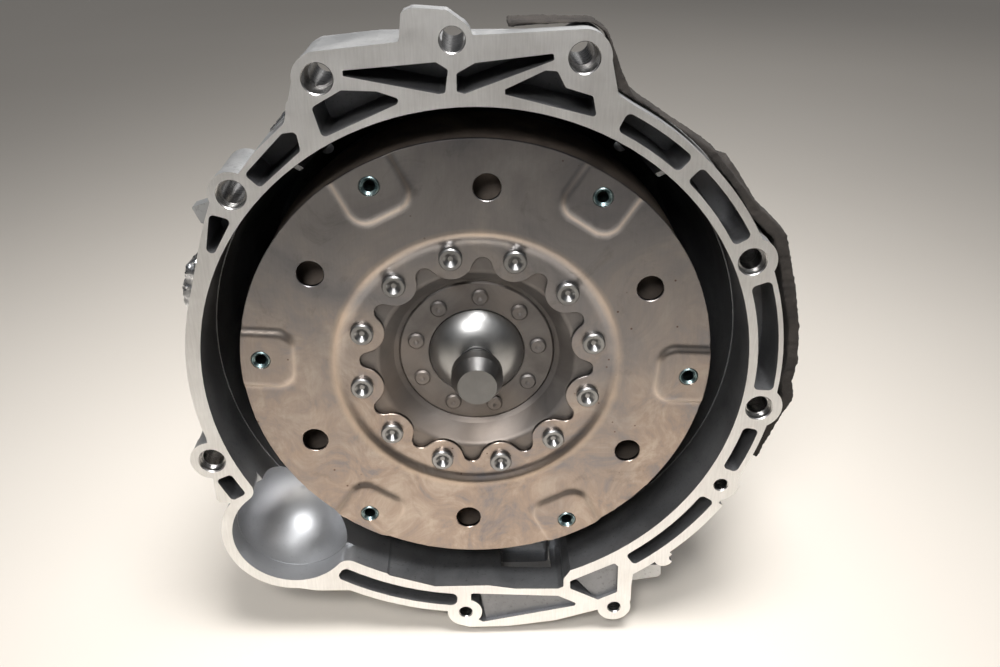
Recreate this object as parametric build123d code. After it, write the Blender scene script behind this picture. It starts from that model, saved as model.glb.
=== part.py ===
from build123d import *
import os
from math import cos, radians, sin, sqrt

# Torque converter in its bell housing, in millimetres. +Z is up, X to the right seen from the
# engine, and Y runs from the engine side (-Y) into the gearbox (+Y). The origin is on the
# converter's axis at the bell housing's machined engine face.

# Bell housing
OPENING_R = 163.0
RIM_R = 182.5
LOWER_RIM_R = 186.0
LEFT_RIM_R = 171.0
FLANGE_THICKNESS = 12.0
CASTING_INSET = 0.6
LATTICE_BACK = 46.0
FOOT_BACK = 16.0
POCKET_DEPTH = 38.0
SHALLOW_POCKET_DEPTH = 3.0
POCKET_END_DEPTH = 12.0
HOUSING_DEPTH = 172.0
REAR_FLANGE_FRONT = 158.0
REAR_FLANGE_R = 152.0
REAR_BOLT_PCD = 280.0
REAR_BOLT_COUNT = 12
REAR_BOLT_HOLE_R = 4.25
BULKHEAD_FRONT = 153.0
BULKHEAD_HOLE_R = 80.0
BULKHEAD_THICKNESS = 9.0
FOOT_Z = -206.0
LARGE_BOLT_HOLE_R = 6.5
SMALL_BOLT_HOLE_R = 4.25
EAR_HOLE_R = 3.2
DOWEL_SEAT_R = 8.0
DOWEL_SEAT_DEPTH = 14.0
DOWEL_RECESS = 5.0
HOLE_CHAMFER = 0.9
RIB_ANGLES = (-118, -62, -38, -8, 18, 40, 70, 95, 125)
INNER_RIB_ANGLES = (50, 127)
STARTER_X = -122.0
STARTER_Z = -117.0
STARTER_R = 38.3
STARTER_WALL = 6.2
STARTER_DEPTH = 16.0
NOSE_R = 8.0
MAT_THICKNESS = 8.0
MAT_CLEARANCE = 0.6
MAT_FRONT = 13.0
MAT_STRIP_BACK = 33.0
MAT_BACK = 110.0
MAT_TAPER = 17.0
MAT_TOP_ANGLE = 40.0
MAT_LOW_ANGLE = -22.0
BOLT_ACCESS_R = 11.5
FOIL_CLEARANCE = 0.4

# Converter front
PHASE = -3.4
PLATE_FRONT = 12.2
PLATE_R = 142.2
PLATE_THICKNESS = 3.0
STEP_OUTER_R = 87.0
STEP_INNER_R = 80.0
STEP_DEPTH = 2.8
INSERT_PCD = 260.0
INSERT_COUNT = 6
INSERT_R = 5.7
INSERT_THREAD_R = 3.4
PAD_RISE = 1.8
PAD_WIDTH = 32.0
PAD_SLOPE = 6.0
PAD_LENGTH = 52.0
PAD_CENTRE_R = 139.0
PAD_CORNER_R = 8.0
ACCESS_HOLE_R = 8.0
ACCESS_HOLE_PCD = 229.2
SCREW_PCD = 144.6
SCREW_COUNT = 12
SCREW_HEAD_R = 7.0
SCREW_SHANK_R = 4.0
LOBE_R = 13.5
SCALLOP_R = 5.4
SCALLOP_PCD = 132.0
RIVET_PCD = 77.0
RIVET_COUNT = 9
RIVET_HEAD_R = 5.2
RIVET_SHANK_R = 3.0
HUB_FRONT = 18.0
HUB_FLOOR = 35.0
HUB_BACK = 41.0
RIVET_PLATE_R = 48.4
HUB_NECK_R = 60.0
DOME_R = 29.2
PILOT_NECK_R = 10.4
PILOT_R = 15.5

# Hydraulics inside
COVER_R = 141.2
COVER_FRONT = 26.0
SHELL_LIP_R = 137.9
TORUS_R = 96.0
TORUS_Y = 94.0
TORUS_SECTION_R = 34.0
CORE_SECTION_R = 14.0
STATOR_OPENING = 13.5
IMPELLER_BLADES = 31
TURBINE_BLADES = 29
STATOR_BLADES = 15
SPRING_COUNT = 6
SPACER_R = 3.5
SPRING_PITCH_R = 84.0
WINDOW_WIDTH = 16.6
WINDOW_LENGTH = 45.0
INPUT_SHAFT_R = 12.0
SHAFT_END_R = 11.5
INPUT_SHAFT_END = 205.0
STATOR_SHAFT_R = 18.5
STATOR_SHAFT_BORE = 15.0
PUMP_BOLT_PCD = 176.0
PUMP_BOLT_COUNT = 8
PUMP_BOLT_HOLE_R = 4.05

AXIS_CLEARANCE = 0.05
TINY = 0.01


def polar(radius, angle):
    """A point in the X, Z plane at an angle from +X towards +Z."""
    return (radius * cos(radians(angle)), radius * sin(radians(angle)))


def ring_of(count, pcd, start=0.0):
    """Points evenly spaced on a pitch circle about the converter's axis."""
    return [polar(pcd / 2, start + 360.0 / count * i) for i in range(count)]


def slab(sketch, front, back):
    """A prism of a sketch drawn in X and Z, from one depth to another."""
    return extrude(Plane.XZ.offset(-front) * sketch, -(back - front))


def disc(radius, x=0.0, z=0.0):
    """A filled circle in the X, Z plane."""
    return Pos(x, z) * Circle(radius)


def rod(radius, front, back, x=0.0, z=0.0):
    """A cylinder along Y."""
    return slab(disc(radius, x, z), front, back)


def tube(outer, inner, front, back, x=0.0, z=0.0):
    """A hollow cylinder along Y."""
    return slab(disc(outer, x, z) - disc(inner, x, z), front, back)


def outline(*points, radius=0.0):
    """A closed outline of straight sides; radius rounds every corner that states none of its own."""
    corners = [p if len(p) == 3 else (*p, radius) for p in points]
    path = FilletPolyline(*[(x, z) for x, z, _ in corners], radius=[r for _, _, r in corners], close=True)
    return make_face(path)


def sector(inner, outer, start, end, corner=0.0):
    """A slice of a ring between two angles."""
    size = end - start
    edges = [
        CenterArc((0, 0), outer, start, size),
        Line(polar(outer, end), polar(inner, end)),
        CenterArc((0, 0), inner, start, size),
        Line(polar(inner, start), polar(outer, start)),
    ]
    face = make_face(edges)
    return fillet(face.vertices(), corner) if corner else face


def turned(*points):
    """A solid of revolution about Y from (radius, Y) points."""
    return revolve(make_face(Polyline(*points, close=True)), Axis.Y)


def pressed(points, bends, thickness):
    """A pressed sheet of revolution about Y: its one side follows the points, bent at each inner one."""
    path = FilletPolyline(*points, radius=bends)
    return revolve(make_face(offset(path, amount=thickness, side=Side.LEFT, closed=True)), Axis.Y)


def around(solid, count, start=0.0):
    """Copies of a solid made at angle 0, turned about Y towards +Z."""
    return [Rot(0, -(start + 360.0 / count * i), 0) * solid for i in range(count)]


NODES = {}


def node(name, *solids):
    """Keep the solids of one sub-part under its node name."""
    NODES[name] = [s for item in solids for s in (item if isinstance(item, list) else [item])]


# --- Bell housing ---

LARGE_BOSSES = [
    (-80, 177.5, 13),
    (-10.5, 196.6, 10.2),
    (57, 187.3, 14),
    (-131.4, 115.7, 12.5),
    (157, 73, 14),
    (172.6, -24.5, 14),
    (-165.2, -57.6, 13),
]
SMALL_BOSSES = [(155.2, -82.2, 11.5), (92, -184, 11), (-9.7, -186, 12)]
DOWELLED = LARGE_BOSSES[3:]
SEATED = [LARGE_BOSSES[0], LARGE_BOSSES[2], *DOWELLED]
BARRELLED = [*SEATED, *SMALL_BOSSES]


def flange_outline():
    """The engine face's outer outline: rim, top bridge, left arm, feet, bosses and starter bulge."""
    bridge = outline(
        (-93, 176, 9), (-85, 190.5, 7), (-37, 195.5, 2), (-35.5, 210, 2), (-30, 212, 1.5), (-13, 210.8, 3),
        (-6.5, 206.2, 4), (-0.5, 198.5, 4),
        (57, 201.3, 4), (70, 190, 8), (75, 168, 4), (92, 157, 0), (60, 110, 0), (-60, 110, 0), (-100, 150, 0),
    )
    left_arm = outline(
        (-96, 172, 3), (-98, 155, 8), (-116, 139, 6), (-127, 126, 2), (-143, 112, 2), (-149, 97, 8),
        (-166, 42, 30), (-166, -90, 4), (-120, -90, 0), (-110, 60, 0), (-60, 120, 0),
    )
    feet = outline(
        (103, -152, 2), (102.5, -165, 4), (103, -184, 8), (80, -186, 3), (52, -194.8, 30), (20, -199.2, 20),
        (-10, -199.5, 10), (-20.7, -188, 6), (-20, -140, 0), (90, -120, 0),
    )
    under_starter = outline(
        (-122, -161.3, 0), (-110, -163.9, 4), (-87, -164.3, 0), (-80, -150, 0), (-115, -150, 0),
    )
    whole = (
        sector(100, RIM_R, -34, 62.5)
        + sector(100, LOWER_RIM_R, -57, -32)
        + sector(100, LOWER_RIM_R, -121, -94)
        + sector(100, LEFT_RIM_R, 160, 200)
        + bridge
        + left_arm
        + feet
        + under_starter
        + disc(STARTER_R + STARTER_WALL, STARTER_X, STARTER_Z)
        + disc(6.0, 123.0, -142.0)
    )
    for x, z, boss_r in LARGE_BOSSES + SMALL_BOSSES:
        whole += disc(boss_r, x, z)
    return whole


def mouth():
    """The bell's opening, with the starter bulge and the flat recess at the bottom."""
    recess = outline((-62, -140, 0), (-62, -152, 3), (-30, -163, 6), (6, -163, 10), (24, -166.3, 10),
                     (53.5, -167, 2.5), (57, -165, 1.5), (57, -158, 2), (61, -151.5, 2), (60, -120, 0))
    bulge = disc(STARTER_R, STARTER_X, STARTER_Z)
    return offset(offset(disc(OPENING_R) + bulge, NOSE_R), -NOSE_R) + recess


def deep_mouth():
    """The opening's outline behind the starter pocket."""
    return mouth() - disc(STARTER_R + NOSE_R, STARTER_X, STARTER_Z) + disc(OPENING_R)


def deep_pockets():
    """The blind pockets between the inner and outer rims."""
    corners = 3.0
    return [
        outline((-101, 149.5), (-93, 150.5), (-91.5, 139.5), (-115.5, 119), (-123.5, 126.8), radius=corners),
        outline((-145, 105.3), (-132.5, 101.5), (-146, 79), (-149.5, 84), radius=corners),
        outline((-67, 182, 1), (-19, 186), (-12.5, 182), (-14.3, 169.5), (-18, 169), (-67, 178.6, 1),
                radius=2),
        outline((-68.3, 172), (-50, 171.3), (-38, 167.3, 2), (-39.5, 164, 2), (-80, 146), (-84.5, 163),
                radius=corners),
        outline((-9, 180), (1, 185.5), (41.5, 190, 1.5), (41.8, 186, 1.5), (-4.5, 169), (-9, 170.2, 1.5),
                radius=2),
        outline((37, 181.5), (43.5, 181), (48, 172.5), (62.5, 168), (65, 156), (16, 168.6, 1), (16, 171.8, 1),
                radius=2),
        sector(167, 179, 48.8, 63.2, 3.5),
        sector(167, 178.5, 29.6, 46.5, 3.5),
        sector(167.5, 180.3, -4, 20, 3.5),
        sector(169, 179.5, -24, -13, 3.5),
        sector(169, 180, -55, -32, 3.5),
        sector(170, 181, -122, -94.9, 4.5),
        sector(168.6, 180, -156.4, -150.4, 3.0),
    ]


def shallow_pockets():
    """The two shallow pockets beside the lower right foot."""
    right = outline((60.7, -160), (90.5, -144.8), (93.3, -148), (93.8, -170.8), (80.5, -177.5), (60.9, -167),
                    radius=2)
    left = outline((-6.3, -169), (53.5, -172.7), (69.5, -181.5), (2, -195.6), (-6.3, -190), radius=2)
    x, z, boss_r = SMALL_BOSSES[2]
    return [right, left - disc(boss_r - 1.2, x, z)]


def pocket_ends():
    """The lower left end of each shallow pocket, where its floor drops to a second level."""
    upper = make_face(Polyline((58, -162), (63.5, -158), (78.5, -177.5), (75, -180), (58, -168), close=True))
    lower = make_face(Polyline((-8, -166), (0, -166), (4.5, -197), (-8, -197), close=True))
    first, second = shallow_pockets()
    return [first & upper, second & lower]


def bell_wall():
    """The bell's cast wall behind the flange, down to the rear flange and the bulkhead."""
    outside = [(171, 30), (167, 70), (160, 105), (150, 140), (149, REAR_FLANGE_FRONT)]
    back = [(REAR_FLANGE_R, REAR_FLANGE_FRONT), (REAR_FLANGE_R, HOUSING_DEPTH), (118, HOUSING_DEPTH)]
    bulkhead_back = BULKHEAD_FRONT + BULKHEAD_THICKNESS
    bulkhead = [(118, bulkhead_back), (BULKHEAD_HOLE_R, bulkhead_back), (BULKHEAD_HOLE_R, BULKHEAD_FRONT)]
    inside = [(110, BULKHEAD_FRONT), (110, 140), (130, 120), (150, 80), (150, 30)]
    return turned(*outside, *back, *bulkhead, *inside)


def starter_pocket(radius, front, depth):
    """The starter motor's round pocket: a cylinder closed by a hemisphere."""
    wall = Polyline((0, depth + radius), (0, front), (radius, front), (radius, depth))
    end = CenterArc((0, depth), radius, 0, 90)
    return Pos(STARTER_X, 0, STARTER_Z) * revolve(make_face([*wall.edges(), end]), Axis.Y)


def sump_front():
    """The lower front wall of the gearbox case, which the unit stands on at the back."""
    wall = outline((-128, -80, 0), (-85, -192, 8), (-85, FOOT_Z, 2), (85, FOOT_Z, 2), (85, -192, 8),
                   (128, -80, 0))
    return slab(wall - disc(120), REAR_FLANGE_FRONT + 2, HOUSING_DEPTH)


def foot_runners():
    """Two runners and a front beam under the bell, which the unit stands on in front of the sump."""
    right = outline((60, FOOT_Z), (85, FOOT_Z), (85, -130), (60, -130), radius=2)
    beam = outline((-85, FOOT_Z), (85, FOOT_Z), (85, -150), (-85, -150), radius=2)
    front = LATTICE_BACK + 4
    sides = [slab(foot, front, REAR_FLANGE_FRONT + 3) for foot in (right, mirror(right, Plane.YZ))]
    return [*sides, slab(beam, front, front + 30)]


def stiffening_ribs():
    """Long ribs outside the bell wall, from the flange to the rear flange."""
    blade = make_face(Polyline(
        (166, 20), (180, 20), (179, 44), (151, REAR_FLANGE_FRONT), (146, REAR_FLANGE_FRONT), close=True))
    rib = extrude(blade, 2.5, both=True)
    return [Rot(0, -a, 0) * rib for a in RIB_ANGLES]


def inner_ribs():
    """Two tapered ribs inside the bell that run back from the opening's upper corners."""
    blade = make_face(Polyline(
        (165, 5), (157, 13), (151, 85), (154.5, 104), (163.5, 70), (165, 40), close=True))
    rib = extrude(blade, 1.5, both=True)
    return [Rot(0, -a, 0) * rib for a in INNER_RIB_ANGLES]


def cast_lugs():
    """Small lugs behind the flange: a pointed one by the left boss, a flat one by the lower right ear."""
    pointed = outline((-157, 104.8, 0.8), (-144, 109, 0), (-138, 92, 0), (-153, 95.5, 0.8))
    flat = outline((98, -156, 0), (124, -157, 2), (125, -167, 3), (106, -170, 2), (96, -176, 0))
    return [slab(pointed, FLANGE_THICKNESS - 1, 20), slab(flat, FLANGE_THICKNESS - 1, 30)]


def hole_mouth(radius, x, z):
    """The chamfer at the engine face round a hole of that radius."""
    cone = turned((0, -1), (radius + HOLE_CHAMFER + 1, -1), (radius, HOLE_CHAMFER), (0, HOLE_CHAMFER))
    return Pos(x, 0, z) * cone


def feet_relief():
    """Where the casting ends just behind the two lower feet, so that only the bell wall goes on."""
    return outline((-8, -172), (55, -174), (62, -161), (94, -146), (104, -157), (125, -157), (125, -215),
                   (-8, -215), radius=2)


def bell_space():
    """Everything that is open inside the bell, as one solid."""
    step = LATTICE_BACK - 5
    room = turned((0, step), (OPENING_R - 0.4, step), (160, 70), (153, 105), (144, 136), (128, 146),
                  (118, BULKHEAD_FRONT), (0, BULKHEAD_FRONT))
    window = outline((15, -140), (15, -186), (50, -186), (50, -140), radius=3)
    return (
        slab(mouth(), -1, STARTER_DEPTH)
        + slab(deep_mouth(), STARTER_DEPTH - 1, step + 1)
        + room
        + starter_pocket(STARTER_R - 0.3, STARTER_DEPTH - 2, STARTER_DEPTH)
        + slab(window, 22, 60)
    )


def bell_housing():
    face = flange_outline()
    body = offset(face, amount=-CASTING_INSET)
    below_lug = Pos(0, -6.5) * Rectangle(460, 400)
    lattice = body & below_lug
    housing = slab(face, 0, FLANGE_THICKNESS) + slab(lattice, FLANGE_THICKNESS, FOOT_BACK)
    housing += slab(lattice - feet_relief(), FOOT_BACK, LATTICE_BACK)
    housing += bell_wall()
    housing += starter_pocket(STARTER_R + STARTER_WALL - 0.5, 2, STARTER_DEPTH)
    for rib in stiffening_ribs():
        housing += rib
    housing += sump_front()
    for runner in foot_runners():
        housing += runner
    for lug in cast_lugs():
        housing += lug
    for x, z, boss_r in BARRELLED:
        housing += rod(boss_r - 0.5, 1, FLANGE_THICKNESS + 16, x, z)
    holes = [bell_space()]
    holes += [slab(pocket, -1, POCKET_DEPTH) for pocket in deep_pockets()]
    holes += [slab(pocket, -1, SHALLOW_POCKET_DEPTH) for pocket in shallow_pockets()]
    holes += [slab(end, -1, POCKET_END_DEPTH) for end in pocket_ends()]
    holes += [rod(LARGE_BOLT_HOLE_R, -1, 70, x, z) for x, z, _ in LARGE_BOSSES]
    holes += [rod(SMALL_BOLT_HOLE_R, -1, 70, x, z) for x, z, _ in SMALL_BOSSES]
    holes += [rod(DOWEL_SEAT_R, -1, DOWEL_SEAT_DEPTH, x, z) for x, z, _ in SEATED]
    holes += [hole_mouth(DOWEL_SEAT_R, x, z) for x, z, _ in SEATED]
    holes += [hole_mouth(LARGE_BOLT_HOLE_R, *LARGE_BOSSES[1][:2])]
    holes += [hole_mouth(SMALL_BOLT_HOLE_R, x, z) for x, z, _ in SMALL_BOSSES]
    holes += [rod(EAR_HOLE_R, -1, 40, 129.5, -141.5)]
    holes += [
        rod(REAR_BOLT_HOLE_R, REAR_FLANGE_FRONT - 20, HOUSING_DEPTH + 1, x, z)
        for x, z in ring_of(REAR_BOLT_COUNT, REAR_BOLT_PCD, 15)
    ]
    holes += [
        rod(PUMP_BOLT_HOLE_R, BULKHEAD_FRONT - 2, 170, x, z)
        for x, z in ring_of(PUMP_BOLT_COUNT, PUMP_BOLT_PCD)
    ]
    for hole in holes:
        housing -= hole
    for rib in inner_ribs():
        housing += rib
    return housing


node("bell_housing", bell_housing())
node("dowel_sleeves", [
    tube(DOWEL_SEAT_R, LARGE_BOLT_HOLE_R, DOWEL_RECESS, DOWEL_SEAT_DEPTH, x, z) for x, z, _ in DOWELLED
])


# --- Soft covers outside the bell ---

def noise_mat():
    """The felt mat: a strip round the flange's top right that widens into a blanket down the right side."""
    outer = [(17.5, 203.6), (62.5, 203.6), (71, 197.5), (79, 178), (85, 165.5), (103, 153.5), (133, 134),
             (162, 100.5), (179, 85), (185.5, 64), (195.5, 25), (198, 0), (196, -14), (199, -26), (191.5, -42),
             (181, -71)]
    bends = [5, 8, 15, 8, 30, 30, 20, 9, 9, 30, 30, 10, 8, 8]
    path = FilletPolyline(*outer, radius=bends)
    band = make_face(offset(path, amount=MAT_THICKNESS, side=Side.RIGHT, closed=True))
    strip = slab(band, MAT_FRONT, MAT_STRIP_BACK)
    front_r = RIM_R + MAT_CLEARANCE
    back_r = front_r - MAT_TAPER
    start = MAT_STRIP_BACK - 3
    section = make_face(Polyline(
        (front_r, start), (front_r + MAT_THICKNESS, start), (front_r + MAT_THICKNESS, LATTICE_BACK + 4),
        (back_r + MAT_THICKNESS, MAT_BACK + 1), (back_r, MAT_BACK), (front_r, LATTICE_BACK + 1), close=True))
    sweep_round = revolve(section, Axis.Y, revolution_arc=MAT_TOP_ANGLE - MAT_LOW_ANGLE)
    blanket = Rot(0, -MAT_TOP_ANGLE, 0) * sweep_round
    mat = strip + blanket - slab(offset(flange_outline(), MAT_CLEARANCE), 0, LATTICE_BACK + MAT_CLEARANCE)
    for x, z, _ in LARGE_BOSSES[4:6]:
        mat -= rod(BOLT_ACCESS_R, MAT_STRIP_BACK, MAT_BACK + 2, x, z)
    return mat


def foil_patches():
    """Foil-faced insulation tucked behind the left arm and in the corner under the upper left boss."""
    side = outline((-155, 79), (-160, 73), (-166, 67), (-171.5, 54), (-171.5, 45), (-167.5, 35), (-160, 30),
                   (-150, 79), radius=1.5)
    shoulder = outline((-110, 142), (-110.5, 147), (-103.5, 153.5), (-98, 158), (-88, 158), (-88, 142),
                       radius=1)
    casting = offset(flange_outline(), FOIL_CLEARANCE)
    front = FLANGE_THICKNESS + 3
    return [slab(side - casting, front, 40), slab(shoulder - casting, front, 26)]


node("noise_mat", noise_mat())
node("foil_patches", foil_patches())


# --- Converter front: drive plate, hub flange and pilot ---

SCREW_POINTS = ring_of(SCREW_COUNT, SCREW_PCD, PHASE + 15)
INSERT_POINTS = ring_of(INSERT_COUNT, INSERT_PCD, PHASE)
RIVET_POINTS = ring_of(RIVET_COUNT, RIVET_PCD, PHASE + 10)


def pad(face, rise, growth):
    """One insert pad at angle 0: a flat-topped rise with sloping sides, open at the rim."""
    centre = Pos(PAD_CENTRE_R, 0)
    base = centre * RectangleRounded(PAD_LENGTH + 2 * growth, PAD_WIDTH + 2 * growth, PAD_CORNER_R + growth)
    top = centre * RectangleRounded(PAD_LENGTH, PAD_WIDTH, PAD_CORNER_R)
    return loft([Plane.XZ.offset(-face) * base, Plane.XZ.offset(rise - face) * top])


def drive_plate():
    front = PLATE_FRONT
    back = PLATE_FRONT + PLATE_THICKNESS
    inner = front + STEP_DEPTH
    oversize = PLATE_R + 8
    plate = turned(
        (oversize, front), (STEP_OUTER_R, front), (STEP_INNER_R, inner), (56, inner), (56, HUB_FRONT),
        (STEP_INNER_R - 1, HUB_FRONT), (STEP_OUTER_R - 1, back), (oversize, back),
    )
    for rise in around(pad(front + TINY, PAD_RISE, PAD_SLOPE), INSERT_COUNT, PHASE):
        plate += rise
    for hollow in around(pad(back + TINY, PAD_RISE, PAD_SLOPE), INSERT_COUNT, PHASE):
        plate -= hollow
    plate &= rod(PLATE_R, 0, 40)
    scallops = disc(SCALLOP_PCD / 2)
    for x, z in ring_of(SCREW_COUNT, SCALLOP_PCD, PHASE):
        scallops += disc(SCALLOP_R, x, z)
    for x, z in SCREW_POINTS:
        scallops -= disc(LOBE_R, x, z)
    plate -= slab(scallops, 10, 20)
    for x, z in ring_of(INSERT_COUNT, ACCESS_HOLE_PCD, PHASE + 30):
        plate -= rod(ACCESS_HOLE_R, 8, 20, x, z)
    for x, z in INSERT_POINTS:
        plate -= rod(INSERT_R, 8, 20, x, z)
    for x, z in SCREW_POINTS:
        plate -= rod(SCREW_SHANK_R + 0.3, 8, 20, x, z)
    return plate


def threaded_insert(x, z):
    """A flanged weld nut pressed in from behind the plate, with its collar just proud of the pad."""
    face = PLATE_FRONT - PAD_RISE - 0.4
    back = PLATE_FRONT + PLATE_THICKNESS - PAD_RISE
    nut = turned(
        (INSERT_THREAD_R, face + 1.4), (INSERT_THREAD_R + 1.4, face), (INSERT_R - 0.6, face),
        (INSERT_R - 0.02, face + 0.6), (INSERT_R - 0.02, back + TINY), (8.5, back + TINY), (8.5, back + 2.0),
        (INSERT_R, back + 2.0), (INSERT_R, 22.4), (INSERT_THREAD_R, 22.4),
    )
    return Pos(x, 0, z) * nut


def drive_plate_screw(x, z):
    """A low-head screw with a conical socket."""
    seat = PLATE_FRONT + STEP_DEPTH
    tip = COVER_FRONT - 0.2
    screw = turned(
        (0, seat - 0.8), (1.6, seat - 0.8), (4.4, seat - 3.2), (SCREW_HEAD_R - 0.8, seat - 3.2),
        (SCREW_HEAD_R, seat - 2.4), (SCREW_HEAD_R, seat), (SCREW_SHANK_R, seat), (SCREW_SHANK_R, tip), (0, tip),
    )
    return Pos(x, 0, z) * screw


def hub_flange():
    """The forged hub: a flat ring under the drive plate, a coned recess and a guide tube at the back."""
    seat_r = RIVET_PLATE_R + 0.1
    neck_back = 33.2
    hub = turned(
        (84, HUB_FRONT), (59, HUB_FRONT), (51, 29.6), (seat_r, 31.8), (seat_r, HUB_FLOOR), (8.02, HUB_FLOOR),
        (8.02, HUB_BACK), (44, HUB_BACK), (44, 50), (50, 50), (50, neck_back), (HUB_NECK_R, neck_back),
        (HUB_NECK_R, COVER_FRONT), (84, COVER_FRONT),
    )
    for x, z in SCREW_POINTS:
        hub -= rod(SCREW_SHANK_R + 0.02, 10, 30, x, z)
    for x, z in RIVET_POINTS:
        hub -= rod(RIVET_SHANK_R + 0.02, 30, 45, x, z)
    return hub


def rivet_plate():
    plate = turned(
        (29.4, 31.8), (30.2, 31), (RIVET_PLATE_R - 1, 31), (RIVET_PLATE_R, 32), (RIVET_PLATE_R, HUB_FLOOR),
        (29.4, HUB_FLOOR),
    )
    for x, z in RIVET_POINTS:
        plate -= rod(RIVET_SHANK_R + 0.02, 28, 40, x, z)
    return plate


def hub_rivet(x, z):
    """A rivet with a flat dimpled head in front and a closed head behind."""
    rivet = turned(
        (0, 29.4), (2.0, 28.8), (4.2, 28.8), (RIVET_HEAD_R, 29.8), (RIVET_HEAD_R, 31), (RIVET_SHANK_R, 31),
        (RIVET_SHANK_R, HUB_BACK), (4.6, HUB_BACK), (4.6, HUB_BACK + 1.2), (3.2, HUB_BACK + 2.2),
        (0, HUB_BACK + 2.2),
    )
    return Pos(x, 0, z) * rivet


def pilot_dome():
    sides = Polyline((10.45, 20), (10.45, HUB_FLOOR), (DOME_R, HUB_FLOOR), (DOME_R, 31))
    crown = ThreePointArc((DOME_R, 31), (21.6, 23.8), (10.45, 20))
    return revolve(make_face([*sides.edges(), crown]), Axis.Y)


SEAL_GROOVES = [8.4, 12.4, 16.4]


def crank_pilot():
    """The pilot that centres the converter in the crankshaft."""
    pilot = turned(
        (0, -12), (11.6, -12), (PILOT_R, -3), (PILOT_R, 5), (PILOT_NECK_R, 6), (PILOT_NECK_R, HUB_FLOOR),
        (8, HUB_FLOOR), (8, HUB_BACK), (0, HUB_BACK),
    )
    for front in SEAL_GROOVES:
        pilot -= tube(PILOT_NECK_R + 1, 9.2, front, front + 2.2)
    return pilot


node("drive_plate", drive_plate())
node("threaded_inserts", [threaded_insert(x, z) for x, z in INSERT_POINTS])
node("drive_plate_screws", [drive_plate_screw(x, z) for x, z in SCREW_POINTS])
node("hub_flange", hub_flange())
node("rivet_plate", rivet_plate())
node("hub_rivets", [hub_rivet(x, z) for x, z in RIVET_POINTS])
node("pilot_dome", pilot_dome())
node("crank_pilot", crank_pilot())
node("pilot_seal_rings", [tube(10.9, 9.25, front + 0.1, front + 2.1) for front in SEAL_GROOVES])


# --- Converter body: cover, impeller and its hub ---

def front_cover():
    """The welded front cover, with a turned rim that comes forward to the drive plate."""
    shell = pressed([(HUB_NECK_R + 0.2, 30), (COVER_R, 30), (COVER_R, 72)], 8, 3.2)
    return shell + tube(COVER_R, COVER_R - 4, 16.8, 38)


def impeller_shell():
    shell = pressed([(SHELL_LIP_R, 64), (SHELL_LIP_R, 131), (80, 131), (58, 119), (44, 119)], [38, 24, 8], 3)
    return shell + tube(COVER_R - 0.6, SHELL_LIP_R - 1, 72.1, 75.5)


def blade_face(front):
    """The half of the flow passage that a wheel's blades fill, on the plane through the axis."""
    passage = Pos(TORUS_R, TORUS_Y) * (Circle(TORUS_SECTION_R - 0.3) - Circle(CORE_SECTION_R + 0.8))
    reach = 40.0
    centre_y = TORUS_Y + (-reach / 2 - 1 if front else reach / 2 + 1)
    half = Pos(TORUS_R, centre_y) * Rectangle(80, reach)
    stator_space = Pos(TORUS_R - 25, TORUS_Y) * Rectangle(25, 2 * STATOR_OPENING)
    return (passage & half) - stator_space


def wheel_blades(count, front, lean):
    """Thin blades all round, each leaning a little."""
    blade = extrude(blade_face(front), 0.5, both=True)
    leaning = Pos(TORUS_R, 0, 0) * Rot(lean, 0, 0) * Pos(-TORUS_R, 0, 0) * Pos(0, -TORUS_Y, 0) * blade
    return around(Pos(0, TORUS_Y, 0) * leaning, count)


def core_ring(front):
    """Half of the ring that guides the oil round the middle of the passage."""
    ring = Pos(TORUS_R, TORUS_Y) * (Circle(CORE_SECTION_R) - Circle(CORE_SECTION_R - 1.2))
    half = Pos(TORUS_R, TORUS_Y + (-11 if front else 11)) * Rectangle(40, 20)
    return revolve(ring & half, Axis.Y)


def impeller_hub():
    """The hub tube that runs in the pump bush, with two slots at its end that drive the oil pump."""
    hub = turned((26, 112), (43.95, 112), (43.95, 119), (31, 120), (31, 158), (26, 158))
    return hub - slab(Rectangle(80, 9), 150, 159)


def thrust_bearing(inner, outer, front, back, rollers=24):
    """Two washers with radial needle rollers between them."""
    washer = 1.4
    gap = back - front - 2 * washer
    lying = Rot(0, 90, 0) * Cylinder(gap / 2, outer - inner - 5)
    needle = Pos((inner + outer) / 2, (front + back) / 2, 0) * lying
    return [tube(outer, inner, front, front + washer), tube(outer, inner, back - washer, back),
            *around(needle, rollers)]


node("front_cover", front_cover())
node("impeller_shell", impeller_shell())
node("impeller_blades", wheel_blades(IMPELLER_BLADES, False, 6))
node("impeller_core_ring", core_ring(False))
node("impeller_hub", impeller_hub())
node("front_thrust_bearing", thrust_bearing(16, 32, HUB_BACK + 0.1, 46.8))
node("rear_thrust_bearing", thrust_bearing(30, 42, 105.6, 111.9))


# --- Lock-up clutch and damper ---

def lockup_piston():
    """The clutch's pressure plate, which slides on the hub's guide tube."""
    return turned(
        (50.05, 34), (131, 34), (133, 36), (133, 38.6), (111, 38.6), (111, 37), (58, 37), (58, 40), (50.05, 40))


def clutch_disc():
    """The friction disc's core, dished back to the damper, with a window for each spring."""
    core = pressed([(126, 41.8), (107, 41.8), (101, 51.2), (62.5, 51.2)], [2, 2], 1.4)
    window = slab(Pos(SPRING_PITCH_R, 0) * RectangleRounded(WINDOW_WIDTH, WINDOW_LENGTH, 3), 40, 60)
    slot = slab(Pos(SPRING_PITCH_R, 0) * RectangleRounded(8.2, 20, 4), 40, 60)
    for opening in around(window, SPRING_COUNT) + around(slot, SPRING_COUNT, 180 / SPRING_COUNT):
        core -= opening
    return core


SPACER_POINTS = ring_of(SPRING_COUNT, 2 * SPRING_PITCH_R, 180 / SPRING_COUNT)


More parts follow.
